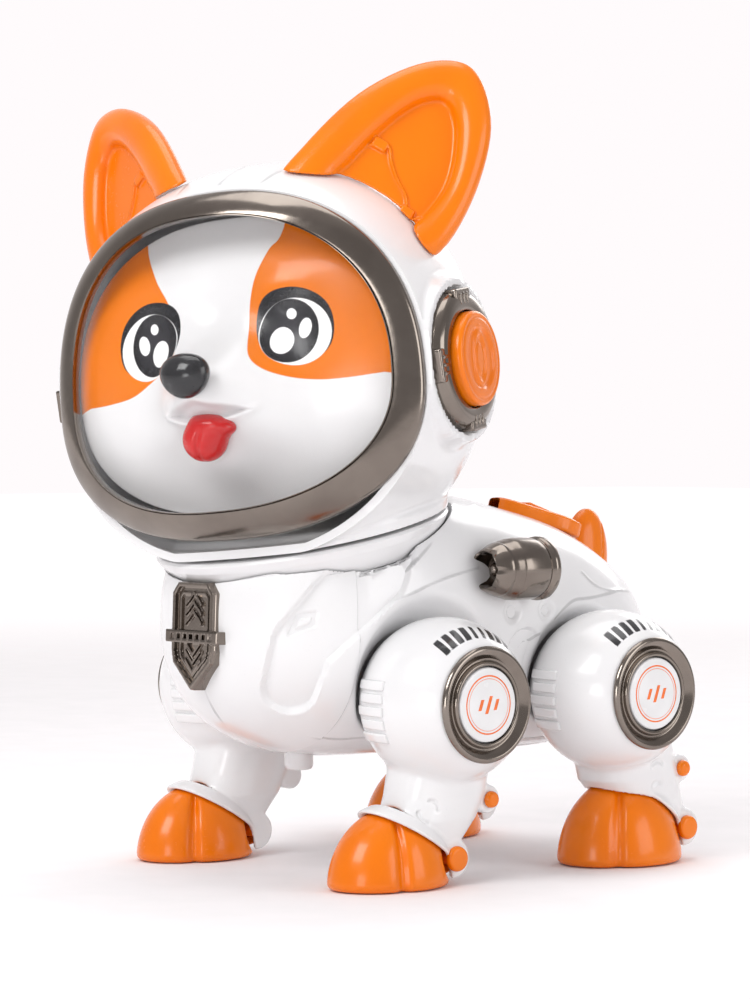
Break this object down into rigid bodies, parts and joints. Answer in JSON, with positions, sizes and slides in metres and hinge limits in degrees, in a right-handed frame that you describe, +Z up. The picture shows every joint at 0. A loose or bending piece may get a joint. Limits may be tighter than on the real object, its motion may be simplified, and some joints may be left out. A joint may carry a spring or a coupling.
{
  "type": "walking robot dog toy",
  "caption": "Standing robot dog toy with a turned helmeted head behind a clear visor, large ears, ball-shouldered legs that swing, hinged paws and a short tail.",
  "frame": {"origin": "centre of the bounding box's base, on the ground the paws stand on", "axes": "+Z up, the dog's body looks along -Y and its left side is +X; the head is turned to its left at rest"},
  "size_m": [0.1364, 0.1925, 0.2276],
  "materials": {
    "white_shell": "glossy white moulded plastic",
    "orange_shell": "glossy orange moulded plastic",
    "metallised_trim": "vacuum-metallised plastic, satin gunmetal",
    "clear_visor": "clear polished",
    "black_gloss": "glossy black",
    "red_gloss": "glossy red",
    "white_badge": "white disc with printed orange rings",
    "circuit_board": "green solder mask",
    "black_case": "matt black",
    "steel": "plain steel",
    "speaker": "black cone",
    "acetal": "natural acetal",
    "cell_can": "printed cell wrap"
  },
  "bodies": {
    "torso": {"torso_shell_left": "white_shell", "torso_shell_right": "white_shell", "neck_collar": "white_shell", "neck_post": "acetal", "chest_badge": "metallised_trim", "thruster_left": "metallised_trim", "thruster_right": "metallised_trim", "back_panel": "orange_shell", "battery_box": "black_case", "battery_cell_1": "cell_can", "battery_cell_2": "cell_can", "battery_cell_3": "cell_can", "circuit_board": "circuit_board", "speaker": "speaker", "gear_frame": "acetal", "drive_motor": "steel"},
    "battery_door": {"battery_door": "white_shell", "door_screw": "steel"},
    "power_button": {"power_button": "white_shell"},
    "mode_button": {"mode_button": "orange_shell"},
    "tail": {"tail": "orange_shell"},
    "crankshaft": {"crankshaft": "acetal"},
    "idler_gear": {"idler_gear": "acetal"},
    "motor_pinion": {"motor_pinion": "steel"},
    "head": {"helmet_shell": "white_shell", "visor_ring": "metallised_trim", "visor_lens": "clear_visor", "face_mask": "white_shell", "nose": "black_gloss", "tongue": "red_gloss", "ear_left": "orange_shell", "ear_right": "orange_shell", "pod_ring_left": "metallised_trim", "pod_ring_right": "metallised_trim", "pod_cap_left": "orange_shell", "pod_cap_right": "orange_shell"},
    "leg_front_left": {"leg_front_left": "white_shell", "hub_ring_front_left": "metallised_trim", "hub_badge_front_left": "white_badge", "knee_cap_front_left": "orange_shell", "ankle_pin_front_left": "orange_shell"},
    "paw_front_left": {"paw_front_left": "orange_shell"},
    "leg_front_right": {"leg_front_right": "white_shell", "hub_ring_front_right": "metallised_trim", "hub_badge_front_right": "white_badge", "knee_cap_front_right": "orange_shell", "ankle_pin_front_right": "orange_shell"},
    "paw_front_right": {"paw_front_right": "orange_shell"},
    "leg_rear_left": {"leg_rear_left": "white_shell", "hub_ring_rear_left": "metallised_trim", "hub_badge_rear_left": "white_badge", "knee_cap_rear_left": "orange_shell", "ankle_pin_rear_left": "orange_shell"},
    "paw_rear_left": {"paw_rear_left": "orange_shell"},
    "leg_rear_right": {"leg_rear_right": "white_shell", "hub_ring_rear_right": "metallised_trim", "hub_badge_rear_right": "white_badge", "knee_cap_rear_right": "orange_shell", "ankle_pin_rear_right": "orange_shell"},
    "paw_rear_right": {"paw_rear_right": "orange_shell"}
  },
  "joints": [
    {"name": "head_turn", "type": "hinge", "parent": "torso", "child": "head", "pos_m": [0.0032, -0.0357, 0.1387], "axis": [0, -0.213, 0.977], "range_deg": [-49, 1]},
    {"name": "hip_front_left", "type": "hinge", "parent": "torso", "child": "leg_front_left", "pos_m": [0.0492, -0.0137, 0.05], "axis": [1, 0, 0], "range_deg": [-10, 10]},
    {"name": "hip_front_right", "type": "hinge", "parent": "torso", "child": "leg_front_right", "pos_m": [-0.0428, -0.0137, 0.05], "axis": [1, 0, 0], "range_deg": [-10, 10]},
    {"name": "hip_rear_left", "type": "hinge", "parent": "torso", "child": "leg_rear_left", "pos_m": [0.0492, 0.0503, 0.05], "axis": [1, 0, 0], "range_deg": [-10, 10]},
    {"name": "hip_rear_right", "type": "hinge", "parent": "torso", "child": "leg_rear_right", "pos_m": [-0.0428, 0.0503, 0.05], "axis": [1, 0, 0], "range_deg": [-10, 10]},
    {"name": "heel_front_left", "type": "hinge", "parent": "leg_front_left", "child": "paw_front_left", "pos_m": [0.0467, -0.0147, 0.0072], "axis": [1, 0, 0], "range_deg": [0, 8]},
    {"name": "heel_front_right", "type": "hinge", "parent": "leg_front_right", "child": "paw_front_right", "pos_m": [-0.0403, -0.0147, 0.0072], "axis": [1, 0, 0], "range_deg": [0, 8]},
    {"name": "heel_rear_left", "type": "hinge", "parent": "leg_rear_left", "child": "paw_rear_left", "pos_m": [0.0467, 0.0748, 0.0093], "axis": [1, 0, 0], "range_deg": [0, 8]},
    {"name": "heel_rear_right", "type": "hinge", "parent": "leg_rear_right", "child": "paw_rear_right", "pos_m": [-0.0403, 0.0748, 0.0093], "axis": [1, 0, 0], "range_deg": [0, 8]},
    {"name": "tail_wag", "type": "hinge", "parent": "torso", "child": "tail", "pos_m": [0.0032, 0.0828, 0.0857], "axis": [0, 0.5446, 0.8387], "range_deg": [-20, 20]},
    {"name": "power_press", "type": "slide", "parent": "torso", "child": "power_button", "axis": [0, 0, 1], "range_m": [0, 0.0015], "stiffness_N_per_m": 200, "springref_m": -0.001},
    {"name": "mode_press", "type": "slide", "parent": "torso", "child": "mode_button", "axis": [0, -0.309, -0.9511], "range_m": [0, 0.0012], "stiffness_N_per_m": 200, "springref_m": -0.001},
    {"name": "door_open", "type": "hinge", "parent": "torso", "child": "battery_door", "pos_m": [0.0032, 0.0653, 0.0315], "axis": [1, 0, 0], "range_deg": [0, 40]},
    {"name": "crank_spin", "type": "hinge", "parent": "torso", "child": "crankshaft", "pos_m": [0.0032, 0.0323, 0.067], "axis": [1, 0, 0], "continuous": true},
    {"name": "idler_spin", "type": "hinge", "parent": "torso", "child": "idler_gear", "pos_m": [0.0032, 0.01202, 0.07206], "axis": [1, 0, 0], "continuous": true},
    {"name": "pinion_spin", "type": "hinge", "parent": "torso", "child": "motor_pinion", "pos_m": [0.0032, 0.00015, 0.0771], "axis": [1, 0, 0], "continuous": true}
  ],
  "couplings": [
    {"joint": "hip_front_right", "follows": "hip_front_left", "ratio": -1},
    {"joint": "hip_rear_left", "follows": "hip_front_left", "ratio": -1},
    {"joint": "hip_rear_right", "follows": "hip_front_left", "ratio": 1},
    {"joint": "idler_spin", "follows": "crank_spin", "ratio": -1.1667},
    {"joint": "pinion_spin", "follows": "crank_spin", "ratio": 3.5}
  ]
}
